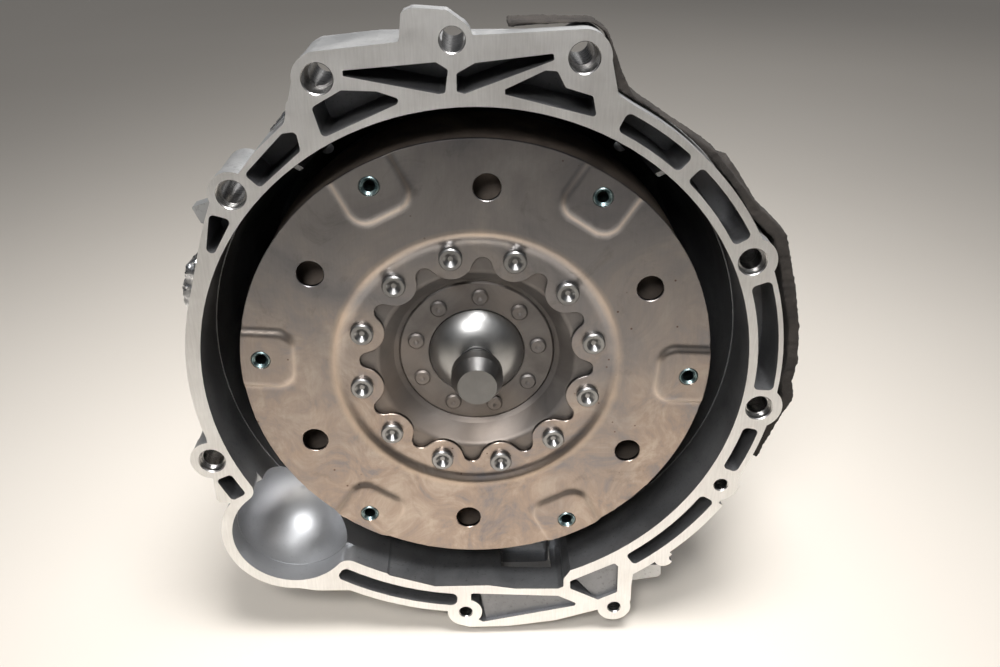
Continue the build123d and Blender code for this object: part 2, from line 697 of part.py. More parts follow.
def spacer(x, z):
    """A shouldered pin that holds the two spring plates apart, through a slot in the clutch disc."""
    pin = turned(
        (0, 44.7), (3.4, 44.7), (3.4, 45.5), (2.5, 45.5), (2.5, 47.3), (SPACER_R, 47.3), (SPACER_R, 53.8),
        (2.5, 53.8), (2.5, 55.55), (3.4, 55.55), (3.4, 56.3), (0, 56.3),
    )
    return Pos(x, 0, z) * pin


def spring_plate(front, back, inner):
    """One of the two plates that hold the damper springs."""
    plate = tube(98, inner, front, back)
    window = slab(Pos(SPRING_PITCH_R, 0) * RectangleRounded(13.6, 31.4, 2), 40, 60)
    for opening in around(window, SPRING_COUNT):
        plate -= opening
    for x, z in SPACER_POINTS:
        plate -= rod(2.52, 40, 60, x, z)
    return plate


def damper_spring():
    """A coil spring lying along the pitch circle at angle 0: a sleeve with a groove between its turns."""
    length = 31.0
    sleeve = Cylinder(6.5, length) - Cylinder(3.9, length + 2)
    for i in range(8):
        sleeve -= Pos(0, 0, -length / 2 + 3.9 + 3.3 * i) * (Cylinder(7.5, 0.7) - Cylinder(5.2, 0.8))
    return Pos(SPRING_PITCH_R, 50.4, 0) * sleeve


node("lockup_piston", lockup_piston())
node("reaction_plate", tube(137.8, 110, 43.0, 46.5))
node("clutch_disc", clutch_disc())
node("friction_linings", [tube(126, 112, 39.6, 40.38), tube(126, 112, 41.82, 42.6)])
node("front_spring_plate", spring_plate(45.5, 47.3, 58))
node("spring_plate_spacers", [spacer(x, z) for x, z in SPACER_POINTS])
node("damper_springs", around(damper_spring(), SPRING_COUNT))


# --- Turbine and its shaft ---

TURBINE_RIVETS = ring_of(8, 116, 22.5)


def with_rivet_holes(solid):
    for x, z in TURBINE_RIVETS:
        solid -= rod(3.02, 44, 66, x, z)
    return solid


def turbine_rivet(x, z):
    rivet = turned(
        (0, 51.6), (3.4, 51.6), (3.4, 53.8), (3, 53.8), (3, 62.7), (4.2, 62.7), (4.2, 64.4), (0, 64.4))
    return Pos(x, 0, z) * rivet


def turbine_hub():
    """The hub that joins the turbine shell and the spring plates to the input shaft."""
    bore_r = INPUT_SHAFT_R + 0.02
    return with_rivet_holes(turned(
        (bore_r, 47), (32, 47), (32, 55.6), (66, 55.6), (66, 60.55), (50.5, 60.55), (50.5, 63), (40, 63),
        (40, 76), (bore_r, 76),
    ))


def input_shaft():
    """The gearbox input shaft, waisted between its two bushes, with a thinner end behind the bell."""
    waist_r = INPUT_SHAFT_R - 1.5
    return turned(
        (0, 47.4), (INPUT_SHAFT_R, 47.4), (INPUT_SHAFT_R, 104), (waist_r, 106), (waist_r, 144),
        (INPUT_SHAFT_R, 146), (INPUT_SHAFT_R, 170), (SHAFT_END_R, 170), (SHAFT_END_R, INPUT_SHAFT_END - 1.5),
        (SHAFT_END_R - 1.5, INPUT_SHAFT_END), (0, INPUT_SHAFT_END),
    )


node("rear_spring_plate", with_rivet_holes(spring_plate(53.8, 55.55, 50)))
node("turbine_shell", with_rivet_holes(
    pressed([(51, 60.6), (68, 60.6), (92, 57.9), (132.4, 57.9), (132.4, 92)], [8, 20, 34], 2)))
node("turbine_blades", wheel_blades(TURBINE_BLADES, True, -8))
node("turbine_core_ring", core_ring(True))
node("turbine_hub", turbine_hub())
node("turbine_rivets", [turbine_rivet(x, z) for x, z in TURBINE_RIVETS])
node("input_shaft", input_shaft())


# --- Stator and its freewheel ---

def stator_wheel():
    """The cast stator: a hub ring and an outer ring joined by curved blades."""
    wheel = tube(61, 43.05, 84, 104) + tube(81, 79.6, 84, 104)
    blade_line = FilletPolyline((-9, 84.5), (-3, 94), (7, 103.5), radius=9)
    blade_section = make_face(offset(blade_line, amount=2.4, side=Side.LEFT, closed=True))
    across = mirror(Rot(0, 0, 90) * blade_section, Plane.YZ)
    blade = extrude(Plane.YZ.offset(59.5) * across, 21)
    for each in around(blade, STATOR_BLADES):
        wheel += each
    return wheel


node("stator_wheel", stator_wheel())
node("freewheel_outer_race", tube(43, 34.15, 85, 103))
node("freewheel_covers", [tube(43, 27.3, 83.2, 84.9), tube(43, 27.3, 103.1, 105)])
node("middle_thrust_bearing", thrust_bearing(28, 40, 76.3, 82.9))
node("freewheel_inner_race", tube(27, STATOR_SHAFT_R + 0.02, 84, 104))
node("freewheel_rollers", [rod(3.5, 87, 101, x, z) for x, z in ring_of(14, 61.1)])


# --- Pump housing, stator shaft and seals at the back of the bell ---

def pump_housing():
    housing = turned(
        (96, 143), (96, BULKHEAD_FRONT), (BULKHEAD_HOLE_R - 0.1, BULKHEAD_FRONT), (BULKHEAD_HOLE_R - 0.1, 160),
        (35, 160), (35, 146.5), (44, 146.5), (44, 138), (68, 138), (74, 143),
    )
    for x, z in ring_of(PUMP_BOLT_COUNT, PUMP_BOLT_PCD):
        housing -= rod(4.05, 140, 165, x, z)
    for x, z in ring_of(6, 86):
        housing -= rod(3.05, 146, 165, x, z)
    return housing


def stator_shaft():
    """The fixed tube that carries the freewheel, with a flange screwed to the pump housing."""
    shaft = tube(STATOR_SHAFT_R, STATOR_SHAFT_BORE, 83.6, 162) + tube(50, STATOR_SHAFT_BORE, 160, 167)
    for x, z in ring_of(6, 86):
        shaft -= rod(3.05, 158, 170, x, z)
    return shaft


def hex_screw(x, z, head_front, head_back, end, across, shank):
    """A hexagon-head screw along Y; its head is at the end given first."""
    head = slab(Pos(x, z) * RegularPolygon(across / 2, 6, major_radius=False), head_front, head_back)
    return head + rod(shank, min(head_back, end), max(head_back, end), x, z)


def hub_seal():
    """The lip seal on the converter's hub, in section: a case and one lip facing the oil."""
    return turned((43.95, 138.6), (43.95, 146), (36, 146), (31.08, 145), (31.08, 143.5), (35, 142.5), (35, 140.2),
                  (38, 140.2), (38, 138.6))


node("pump_housing", pump_housing())
node("pump_housing_bolts", [
    hex_screw(x, z, 138, 143, 166, 13, 4) for x, z in ring_of(PUMP_BOLT_COUNT, PUMP_BOLT_PCD)
])
node("stator_shaft", stator_shaft())
node("stator_shaft_screws", [hex_screw(x, z, 171, 167, 150, 10, 3) for x, z in ring_of(6, 86)])
node("hub_seal", hub_seal())
node("hub_bush", tube(34.98, 31.05, 147, 159))
node("shaft_bushes", [tube(STATOR_SHAFT_BORE, INPUT_SHAFT_R + AXIS_CLEARANCE, a, a + 14) for a in (86, 150)])


os.makedirs("parts", exist_ok=True)
for name, solids in NODES.items():
    export_step(solids[0] if len(solids) == 1 else Compound(children=solids), f"parts/{name}.step")
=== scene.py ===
import math

import bmesh
import bpy
from mathutils import Matrix, Vector, noise
from mathutils.bvhtree import BVHTree
from mathutils.geometry import delaunay_2d_cdt


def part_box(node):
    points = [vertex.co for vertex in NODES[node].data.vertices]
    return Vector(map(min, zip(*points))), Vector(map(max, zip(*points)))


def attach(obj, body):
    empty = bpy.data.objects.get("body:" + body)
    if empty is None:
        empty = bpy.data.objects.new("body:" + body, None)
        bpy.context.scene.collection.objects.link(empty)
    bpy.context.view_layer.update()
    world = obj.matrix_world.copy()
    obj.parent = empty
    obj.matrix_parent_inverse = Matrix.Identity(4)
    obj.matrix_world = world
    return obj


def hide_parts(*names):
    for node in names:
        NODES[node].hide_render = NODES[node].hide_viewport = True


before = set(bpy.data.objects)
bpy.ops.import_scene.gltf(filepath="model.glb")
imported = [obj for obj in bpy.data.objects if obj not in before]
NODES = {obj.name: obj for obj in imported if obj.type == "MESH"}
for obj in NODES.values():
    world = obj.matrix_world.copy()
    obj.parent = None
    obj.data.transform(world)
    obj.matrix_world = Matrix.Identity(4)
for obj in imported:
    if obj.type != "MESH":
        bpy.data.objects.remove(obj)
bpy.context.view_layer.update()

# Lengths are in metres, in the CAD frame: the engine side faces -Y and +Z is up.
MM = 0.001

# --- Places read from the frame ---

HOUSING_LOW, HOUSING_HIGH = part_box("bell_housing")
PLATE_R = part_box("drive_plate")[1].x
FLOOR_Z = HOUSING_LOW.z
HOUSING_BACK = HOUSING_HIGH.y

# --- Dimensions that the CAD states ---

OPENING_R = 163.2 * MM
RIB_FOOT_R = 165.5 * MM
STARTER_X = -122 * MM
STARTER_Z = -117 * MM
STARTER_R = 38.6 * MM
BELL_DEPTH = 153.5 * MM
POCKET_DEPTH = 38 * MM
SHALLOW_DEPTH = 3 * MM
# Where the bolt bosses are, as (X, Z) in millimetres
LARGE_BOSSES = [
    (-80, 177.5), (-10.5, 196.6), (57, 187.3), (-131.4, 115.7), (157, 73), (172.6, -24.5), (-165.2, -57.6),
]
SMALL_BOSSES = [(155.2, -82.2), (92, -184), (-9.7, -186)]
SEAT_R = 9.2 * MM
SMALL_SEAT_R = 5.4 * MM
BOSS_DEPTH = 70 * MM

# How the casting's surfaces are told apart: tolerances and the lengths of the feelers
FACE_TOLERANCE = 0.4 * MM
PROBE_GAP = 0.1 * MM
BELL_REACH = 60 * MM
POCKET_REACH = 90 * MM
WALL_REACH = 75 * MM

# The drive plate's first insert pad is turned by PHASE from the +X side
PHASE = math.radians(-3.4)
PLATE_FRONT = 12.2 * MM
PLATE_THICKNESS = 3 * MM
STEP_OUTER_R = 87 * MM
STEP_INNER_R = 80 * MM
STEP_DEPTH = 2.8 * MM
PAD_RISE = 1.8 * MM
PAD_HALF_WIDTH = 16 * MM
PAD_START_R = 113 * MM
PAD_CORNER = 8 * MM
PAD_SLOPE = 5 * MM
INSERT_R = 5.7 * MM
INSERT_PITCH_R = 130 * MM
ACCESS_R = 8 * MM
ACCESS_PITCH_R = 114.6 * MM
SCREW_PITCH_R = 72.3 * MM
SCREW_COUNT = 12
PAD_COUNT = 6
LOBE_R = 13.5 * MM
LOBES_START_R = 60 * MM
LOBES_END_R = 76 * MM
SCALLOP_R = 5.4 * MM
SCALLOP_PITCH_R = 66 * MM
EDGE_BEVEL = 0.35 * MM
GRID_SPACING = 1.7 * MM
GRID_GAP = 1.2 * MM
RIM_GAP = 1.3 * MM
INSIDE_HOLE = 0.999
MERGE_DISTANCE = 1e-7
CHAMFER = 0.35 * MM
WELD_STEPS_PER_METRE = 1e6

# How many straight steps make up a round edge
RIM_STEPS = 360
HOLE_STEPS = 40
LOBE_STEPS = 18
SCALLOP_STEPS = 12
HUB_STEPS = 144


# The camera stands in front and above; lens and sensor are in millimetres
CAMERA_PLACE = (0.00025, -0.5046, 0.2942)
CAMERA_FORWARD = (0.0236, 0.8852, -0.4647)
CAMERA_UP = (0.0124, 0.4645, 0.8855)
SENSOR_WIDTH = 36
LENS_LENGTH = 35.15
FLOOR_HALF_WIDTH = 14.0


# --- Materials ---

class Paint:
    """A node material under construction: small helpers for the procedural textures."""

    def __init__(self, name, metallic, roughness, colour):
        self.material = bpy.data.materials.new(name)
        self.material.use_nodes = True
        self.tree = self.material.node_tree
        self.shader = self.tree.nodes["Principled BSDF"]
        self.shader.inputs["Metallic"].default_value = metallic
        self.shader.inputs["Roughness"].default_value = roughness
        self.shader.inputs["Base Color"].default_value = (*colour, 1)
        self.coords = self.tree.nodes.new("ShaderNodeTexCoord").outputs["Object"]

    def link(self, source, target):
        self.tree.links.new(source, target)

    def set_input(self, socket, value):
        if hasattr(value, "is_linked"):
            self.link(value, socket)
        else:
            socket.default_value = value

    def stretched(self, scale, turn=(0, 0, 0)):
        """Object coordinates scaled and turned, for grain that runs one way."""
        mapping = self.tree.nodes.new("ShaderNodeMapping")
        mapping.inputs["Scale"].default_value = scale
        mapping.inputs["Rotation"].default_value = turn
        self.link(self.coords, mapping.inputs["Vector"])
        return mapping.outputs["Vector"]

    def noise(self, scale, detail=4.0, rough=0.55, distortion=0.0, vector=None):
        node = self.tree.nodes.new("ShaderNodeTexNoise")
        node.inputs["Scale"].default_value = scale
        node.inputs["Detail"].default_value = detail
        node.inputs["Roughness"].default_value = rough
        node.inputs["Distortion"].default_value = distortion
        self.link(vector or self.coords, node.inputs["Vector"])
        return node.outputs["Fac"]

    def cells(self, scale):
        node = self.tree.nodes.new("ShaderNodeTexVoronoi")
        node.inputs["Scale"].default_value = scale
        self.link(self.coords, node.inputs["Vector"])
        return node.outputs["Distance"]

    def math(self, operation, a, b=0.0):
        node = self.tree.nodes.new("ShaderNodeMath")
        node.operation = operation
        self.set_input(node.inputs[0], a)
        self.set_input(node.inputs[1], b)
        return node.outputs[0]

    def axis(self, name):
        node = self.tree.nodes.new("ShaderNodeSeparateXYZ")
        self.link(self.coords, node.inputs[0])
        return node.outputs[name]

    def radius(self, x=0.0, z=0.0):
        """Distance from a line along Y through (x, z)."""
        across = self.math("SUBTRACT", self.axis("X"), x)
        up = self.math("SUBTRACT", self.axis("Z"), z)
        square = self.math("ADD", self.math("MULTIPLY", across, across), self.math("MULTIPLY", up, up))
        return self.math("SQRT", square)

    def band(self, value, middle, half_width):
        """1 at the middle value, falling evenly to 0 at half_width on either side."""
        distance = self.math("ABSOLUTE", self.math("SUBTRACT", value, middle))
        return self.ramp(self.math("DIVIDE", distance, half_width), (0.0, 1.0), (1.0, 0.0))

    def facing_axis(self):
        """1 where the surface faces along the converter's axis, 0 on walls parallel to it."""
        normal = self.tree.nodes.new("ShaderNodeNewGeometry").outputs["True Normal"]
        split = self.tree.nodes.new("ShaderNodeSeparateXYZ")
        self.link(normal, split.inputs[0])
        return self.math("ABSOLUTE", split.outputs["Y"])

    def rings(self, spacing, centre=(0.0, 0.0), wobble=0.0):
        """Fine turned or milled rings about a line along Y, from 0 to 1."""
        phase = self.math("MULTIPLY", self.radius(*centre), 2 * math.pi / spacing)
        if wobble:
            phase = self.math("ADD", phase, self.math("MULTIPLY", self.noise(60), wobble))
        return self.math("MULTIPLY_ADD", self.math("SINE", phase), 0.5)

    def ramp(self, factor, *stops):
        node = self.tree.nodes.new("ShaderNodeValToRGB")
        elements = node.color_ramp.elements
        while len(elements) < len(stops):
            elements.new(0.5)
        for element, (place, colour) in zip(elements, stops):
            element.position = place
            element.color = (*colour, 1) if hasattr(colour, "__len__") else (colour, colour, colour, 1)
        self.link(factor, node.inputs["Fac"])
        return node.outputs["Color"]

    def mix(self, factor, a, b, blend="MIX"):
        node = self.tree.nodes.new("ShaderNodeMix")
        node.data_type = "RGBA"
        node.blend_type = blend
        self.set_input(node.inputs[0], factor)
        for socket, value in ((node.inputs[6], a), (node.inputs[7], b)):
            self.set_input(socket, value if hasattr(value, "is_linked") else (*value, 1))
        return node.outputs[2]

    def colour(self, source):
        self.link(source, self.shader.inputs["Base Color"])
        return self

    def roughness(self, factor, low, high):
        node = self.tree.nodes.new("ShaderNodeMapRange")
        node.inputs["To Min"].default_value = low
        node.inputs["To Max"].default_value = high
        self.link(factor, node.inputs["Value"])
        self.link(node.outputs["Result"], self.shader.inputs["Roughness"])
        return self

    def bumps(self, *layers):
        """Bump layers of (height, distance in metres, strength), the first one underneath."""
        normal = None
        for height, distance, strength in layers:
            node = self.tree.nodes.new("ShaderNodeBump")
            node.inputs["Distance"].default_value = distance
            node.inputs["Strength"].default_value = strength
            self.link(height, node.inputs["Height"])
            if normal:
                self.link(normal, node.inputs["Normal"])
            normal = node.outputs["Normal"]
        self.link(normal, self.shader.inputs["Normal"])
        return self


def machined_aluminium():
    """Face-milled aluminium: wide tool arcs, faint stains and a satin shine."""
    base = 0.86
    paint = Paint("machined_aluminium", 1.0, 0.34, (base, base, base))
    stain = paint.noise(28, 5, 0.6, 0.4)
    fine = paint.noise(900, 2, vector=paint.stretched((1, 1, 0.08)))
    dull = (base * 0.86, base * 0.84, base * 0.81)
    clean = (base, base * 0.985, base * 0.96)
    body = paint.ramp(stain, (0.3, dull), (0.62, clean))
    paint.colour(paint.mix(0.18, body, paint.ramp(fine, (0.3, base * 0.7), (0.7, base * 1.2))))
    paint.roughness(stain, 0.36, 0.48)
    arcs = paint.rings(0.0011, (0.31, -0.42), 3)
    return paint.bumps((arcs, 0.00003, 0.35), (fine, 0.00002, 0.25)).material


def bored_aluminium():
    paint = Paint("bored_aluminium", 1.0, 0.28, (0.5, 0.49, 0.48))
    lines = paint.noise(700, 3, vector=paint.stretched((0.15, 4, 0.15)))
    paint.colour(paint.ramp(lines, (0.3, (0.30, 0.29, 0.28)), (0.7, (0.62, 0.61, 0.60))))
    return paint.roughness(lines, 0.2, 0.36).bumps((lines, 0.00005, 0.5)).material


def cast_skin(name, dark, light, low, high, metallic=0.85, painted_light_r=None):
    """As-cast aluminium: grainy skin and soft mottling, with a painted highlight that makes it brighter
    within the given radius of the starter's axis.
    """
    paint = Paint(name, metallic, 0.5, light)
    mottle = paint.noise(22, 6, 0.62, 0.6)
    grain = paint.noise(1500, 2)
    pits = paint.noise(420, 3, 0.7)
    body = paint.ramp(mottle, (0.32, dark), (0.68, light))
    speck = paint.ramp(pits, (0.3, 0.72), (0.42, 1.0))
    speckled = paint.mix(1.0, body, speck, "MULTIPLY")
    # Painted highlight: the skin is lightened towards the starter's axis, where the lamp lights the starter
    # bulge.
    if painted_light_r:
        near = paint.band(paint.radius(STARTER_X, STARTER_Z), 0.0, painted_light_r)
        speckled = paint.mix(near, speckled, (0.66, 0.665, 0.68))
    paint.colour(speckled)
    paint.roughness(mottle, low, high)
    return paint.bumps((mottle, 0.0008, 0.25), (pits, 0.00012, 0.5), (grain, 0.00005, 0.4)).material


def plate_steel():
    """The drive plate: satin pressed steel, a tan oil film low down mixed with a painted reflection of the
    floor, painted highlights on the ring step and pad slopes, painted shade on its edge walls, rust specks
    and fine rolling lines.
    """
    paint = Paint("plate_steel", 1.0, 0.4, (0.34, 0.31, 0.29))
    blotch = paint.noise(11, 6, 0.6, 0.9)
    # Tan towards the bottom of the plate: partly a real oil film, partly a painted reflection of the warm
    # floor below.
    low_film_and_reflection = paint.math("ADD", paint.math("MULTIPLY", paint.axis("Z"), -2.2), blotch)
    steel = paint.ramp(
        blotch, (0.3, (0.21, 0.205, 0.215)), (0.5, (0.30, 0.285, 0.28)), (0.7, (0.40, 0.39, 0.385)))
    tan = paint.ramp(
        paint.noise(30, 6, 0.68, 1.4),
        (0.34, (0.24, 0.215, 0.215)), (0.5, (0.38, 0.29, 0.23)), (0.66, (0.50, 0.41, 0.34)))
    film = paint.math("MULTIPLY", paint.ramp(low_film_and_reflection, (0.30, 0.0), (0.72, 1.0)), 0.85)
    body = paint.mix(film, steel, tan)
    # Painted highlights: a tan line round the ring step and a tan tint on the pad slopes.
    step_line = paint.band(paint.radius(), STEP_OUTER_R - 0.5 * MM, 4 * MM)
    step_highlight = paint.math("MULTIPLY", step_line, paint.ramp(blotch, (0.3, 0.2), (0.6, 0.6)))
    pad_slope = paint.band(paint.axis("Y"), PLATE_FRONT - 0.5 * PAD_RISE, 0.45 * PAD_RISE)
    pad_slope_highlight = paint.math("MULTIPLY", pad_slope, 0.5)
    warm = paint.mix(pad_slope_highlight, paint.mix(step_highlight, body, (0.66, 0.52, 0.40)), (0.60, 0.50, 0.41))
    lines = paint.noise(420, 3, 0.7, vector=paint.stretched((1.6, 1, 0.16)))
    streaked = paint.mix(1.0, warm, paint.ramp(lines, (0.3, 0.97), (0.7, 1.03)), "MULTIPLY")
    stain = paint.ramp(paint.noise(26, 6, 0.7, 1.4), (0.30, 0.55), (0.43, 1.0))
    stained = paint.mix(0.45, streaked, paint.mix(1.0, streaked, stain, "MULTIPLY"))
    spots = paint.ramp(paint.cells(120), (0.05, 1.0), (0.10, 0.0))
    patches = paint.ramp(paint.noise(20, 3), (0.53, 0.0), (0.6, 1.0))
    rust = paint.math("MULTIPLY", paint.math("MULTIPLY", spots, patches), 0.85)
    specked = paint.mix(rust, stained, (0.10, 0.05, 0.03))
    # Painted shade: walls parallel to the axis, at the plate's edges, holes and scallops, are darkened
    # nearly to black.
    wall = paint.ramp(paint.facing_axis(), (0.3, 0.9), (0.6, 0.0))
    paint.colour(paint.mix(wall, specked, (0.05, 0.045, 0.042)))
    paint.roughness(paint.noise(35, 5, 0.6, 0.5), 0.24, 0.36)
    grain = paint.noise(1400, 2)
    return paint.bumps((blotch, 0.0012, 0.15), (lines, 0.00002, 0.12), (grain, 0.00003, 0.3)).material


def hub_steel(name="hub_steel", dark=(0.13, 0.12, 0.115), light=(0.23, 0.215, 0.205)):
    """Forged and turned hub steel with turning rings and a light brown film."""
    paint = Paint(name, 1.0, 0.4, light)
    blotch = paint.noise(30, 6, 0.6, 0.7)
    film = paint.noise(11, 3)
    body = paint.ramp(blotch, (0.3, dark), (0.7, light))
    paint.colour(paint.mix(paint.ramp(film, (0.45, 0.0), (0.75, 0.45)), body, (0.40, 0.31, 0.24)))
    paint.roughness(blotch, 0.46, 0.6)
    rings = paint.rings(0.0007, wobble=1.5)
    return paint.bumps((rings, 0.00003, 0.25), (paint.noise(1300, 2), 0.00004, 0.4)).material


def turned_steel(name="turned_steel", base=0.56, low=0.16, high=0.26, spacing=0.0005):
    """Bright turned steel with fine tool rings."""
    paint = Paint(name, 1.0, 0.2, (base, base, base))
    smear = paint.noise(45, 4, 0.6, 0.5)
    dull = (base * 0.8, base * 0.79, base * 0.78)
    clean = (base, base * 0.99, base * 0.97)
    paint.colour(paint.ramp(smear, (0.3, dull), (0.7, clean)))
    paint.roughness(smear, low, high)
    lines = paint.math("SINE", paint.math("MULTIPLY", paint.axis("Y"), 2 * math.pi / spacing))
    return paint.bumps((paint.rings(spacing), 0.00001, 0.25), (lines, 0.00001, 0.12)).material


def zinc():
    paint = Paint("zinc_plate", 1.0, 0.3, (0.36, 0.46, 0.46))
    tint = paint.noise(240, 4, 0.6, 0.8)
    paint.colour(paint.ramp(
        tint, (0.3, (0.11, 0.16, 0.17)), (0.55, (0.23, 0.31, 0.315)), (0.75, (0.36, 0.42, 0.40))))
    return paint.roughness(tint, 0.22, 0.4).bumps((paint.noise(2200, 2), 0.00003, 0.4)).material


def black_steel():
    paint = Paint("black_phosphate", 0.6, 0.5, (0.03, 0.03, 0.032))
    tone = paint.noise(160, 4)
    paint.colour(paint.ramp(tone, (0.3, (0.018, 0.018, 0.02)), (0.7, (0.06, 0.06, 0.062))))
    return paint.roughness(tone, 0.4, 0.6).bumps((paint.noise(2000, 2), 0.00004, 0.5)).material


def drum_steel():
    """The cover's drum: dark, brown and dusty from welding heat."""
    paint = Paint("heat_darkened_steel", 0.9, 0.5, (0.09, 0.075, 0.065))
    cloud = paint.noise(26, 6, 0.62, 1.0)
    dust = paint.noise(900, 3, 0.7)
    body = paint.ramp(cloud, (0.3, (0.20, 0.165, 0.14)), (0.7, (0.46, 0.38, 0.32)))
    paint.colour(paint.mix(paint.ramp(dust, (0.55, 0.0), (0.75, 0.5)), body, (0.26, 0.23, 0.2)))
    return paint.roughness(cloud, 0.42, 0.6).bumps((dust, 0.00006, 0.5), (cloud, 0.0006, 0.2)).material


def rubber():
    paint = Paint("seal_rubber", 0.0, 0.55, (0.018, 0.018, 0.018))
    tone = paint.noise(300, 4)
    paint.colour(paint.ramp(tone, (0.3, (0.012, 0.012, 0.012)), (0.7, (0.032, 0.031, 0.03))))
    return paint.roughness(tone, 0.4, 0.62).bumps((paint.noise(1800, 2), 0.00004, 0.5)).material


def bronze():
    paint = Paint("bearing_bronze", 1.0, 0.3, (0.55, 0.36, 0.18))
    tone = paint.noise(120, 5, 0.6, 0.6)
    paint.colour(paint.ramp(tone, (0.3, (0.36, 0.22, 0.10)), (0.7, (0.64, 0.43, 0.22))))
    return paint.roughness(tone, 0.24, 0.42).bumps((paint.rings(0.0006), 0.00002, 0.3)).material


def friction_paper():
    paint = Paint("friction_paper", 0.0, 0.85, (0.2, 0.12, 0.07))
    fibre = paint.noise(900, 5, 0.7, 1.5)
    paint.colour(paint.ramp(fibre, (0.3, (0.10, 0.06, 0.035)), (0.7, (0.28, 0.18, 0.11))))
    return paint.roughness(fibre, 0.75, 0.95).bumps((fibre, 0.00015, 0.7)).material


def spring_steel():
    paint = Paint("oil_tempered_wire", 1.0, 0.3, (0.2, 0.2, 0.22))
    tone = paint.noise(180, 4, 0.6, 0.5)
    paint.colour(paint.ramp(tone, (0.3, (0.10, 0.10, 0.12)), (0.7, (0.30, 0.29, 0.31))))
    return paint.roughness(tone, 0.22, 0.38).bumps((paint.noise(1600, 2), 0.00002, 0.3)).material


def felt():
    """Needled dark brown felt with lighter loose fibres."""
    paint = Paint("needled_felt", 0.0, 0.95, (0.05, 0.043, 0.037))
    fibre = paint.noise(1100, 6, 0.75, 3.0)
    patch = paint.noise(60, 4, 0.6)
    body = paint.ramp(patch, (0.3, (0.018, 0.015, 0.013)), (0.7, (0.046, 0.038, 0.032)))
    paint.colour(paint.mix(paint.ramp(fibre, (0.56, 0.0), (0.72, 0.7)), body, (0.15, 0.122, 0.10)))
    return paint.bumps((patch, 0.0012, 0.4), (fibre, 0.0005, 0.9)).material


def foil():
    paint = Paint("crumpled_foil", 1.0, 0.2, (0.78, 0.79, 0.81))
    crease = paint.cells(190)
    smear = paint.noise(120, 5, 0.6, 1.2)
    paint.colour(paint.ramp(smear, (0.3, (0.55, 0.56, 0.58)), (0.7, (0.86, 0.87, 0.88))))
    return paint.roughness(smear, 0.14, 0.34).bumps((crease, 0.0012, 0.5), (smear, 0.0004, 0.5)).material


def floor_paint():
    paint = Paint("pale_floor", 0.0, 0.75, (0.72, 0.66, 0.59))
    tone = paint.noise(0.9, 3)
    paint.colour(paint.ramp(tone, (0.3, (0.70, 0.645, 0.575)), (0.7, (0.74, 0.685, 0.615))))
    return paint.bumps((paint.noise(220, 3), 0.0002, 0.2)).material


MACHINED = machined_aluminium()
BORED = bored_aluminium()
OUTER_SKIN = cast_skin("cast_outside", (0.40, 0.40, 0.40), (0.58, 0.575, 0.565), 0.42, 0.58)
# The bell's inside gets a painted highlight within 62 mm of the starter's axis.
INNER_SKIN = cast_skin("cast_inside", (0.20, 0.203, 0.21), (0.33, 0.335, 0.345), 0.36, 0.5, 0.9, 0.062)
POCKET_SKIN = cast_skin("cast_pocket", (0.17, 0.17, 0.175), (0.29, 0.29, 0.295), 0.38, 0.52, 0.8)
LEDGE_SKIN = cast_skin("cast_ledge", (0.17, 0.172, 0.18), (0.28, 0.282, 0.29), 0.4, 0.55)
PLATE_STEEL = plate_steel()
HUB_STEEL = hub_steel()
TURNED = turned_steel()
PILOT_STEEL = turned_steel("worn_pilot_steel", 0.23, 0.26, 0.38)
SCREW_STEEL = turned_steel("plated_screws", 0.34, 0.24, 0.36)
DOME_STEEL = turned_steel("satin_dome", 0.44, 0.3, 0.4, 0.0014)
INNER_STEEL = hub_steel("pressed_steel", (0.26, 0.25, 0.24), (0.42, 0.41, 0.40))
ZINC = zinc()
BLACK = black_steel()
DRUM = drum_steel()
RUBBER = rubber()
BRONZE = bronze()
PAPER = friction_paper()
SPRING = spring_steel()
FELT = felt()
FOIL = foil()

# The casting's material slots, in the order of CASTING_PAINT
FACE_SLOT, BORE_SLOT, BELL_SLOT, POCKET_SLOT, LEDGE_SLOT, OUTSIDE_SLOT = range(6)
CASTING_PAINT = [MACHINED, BORED, INNER_SKIN, POCKET_SKIN, LEDGE_SKIN, OUTER_SKIN]

CAD_PAINT = {
    TURNED: ["dowel_sleeves", "stator_shaft", "freewheel_inner_race", "freewheel_rollers",
             "impeller_hub", "front_thrust_bearing", "rear_thrust_bearing",
             "spring_plate_spacers", "turbine_hub", "input_shaft", "freewheel_outer_race",
             "middle_thrust_bearing"],
    HUB_STEEL: ["hub_flange", "rivet_plate", "hub_rivets"],
    PILOT_STEEL: ["crank_pilot"],
    SCREW_STEEL: ["drive_plate_screws"],
    DOME_STEEL: ["pilot_dome"],
    INNER_STEEL: ["impeller_shell", "impeller_blades", "impeller_core_ring", "reaction_plate",
                  "lockup_piston", "clutch_disc", "front_spring_plate", "rear_spring_plate",
                  "turbine_shell", "turbine_blades", "turbine_core_ring", "turbine_rivets"],
    DRUM: ["front_cover"],
    ZINC: ["threaded_inserts", "pump_housing_bolts"],
    BLACK: ["stator_shaft_screws"],
    RUBBER: ["hub_seal", "pilot_seal_rings"],
    BRONZE: ["hub_bush", "shaft_bushes", "freewheel_covers"],
    PAPER: ["friction_linings"],
    SPRING: ["damper_springs"],
    OUTER_SKIN: ["pump_housing", "stator_wheel"],
}


def paint_cad_nodes():
    """Gives each CAD node that shows its material; the rest are stood for by pieces below."""
    for material, names in CAD_PAINT.items():
        for name in names:
            slots = NODES[name].material_slots
            for index in range(len(slots)):
                slots[index].material = material


# --- Mesh helpers ---

def new_piece(name, mesh, body, slot, *replaced):
    """A mesh as a piece of the object, riding on a body and standing for CAD nodes."""
    piece = bpy.data.objects.new(name, mesh)
    bpy.context.scene.collection.objects.link(piece)
    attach(piece, body)
    if replaced:
        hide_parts(*replaced)
    return piece


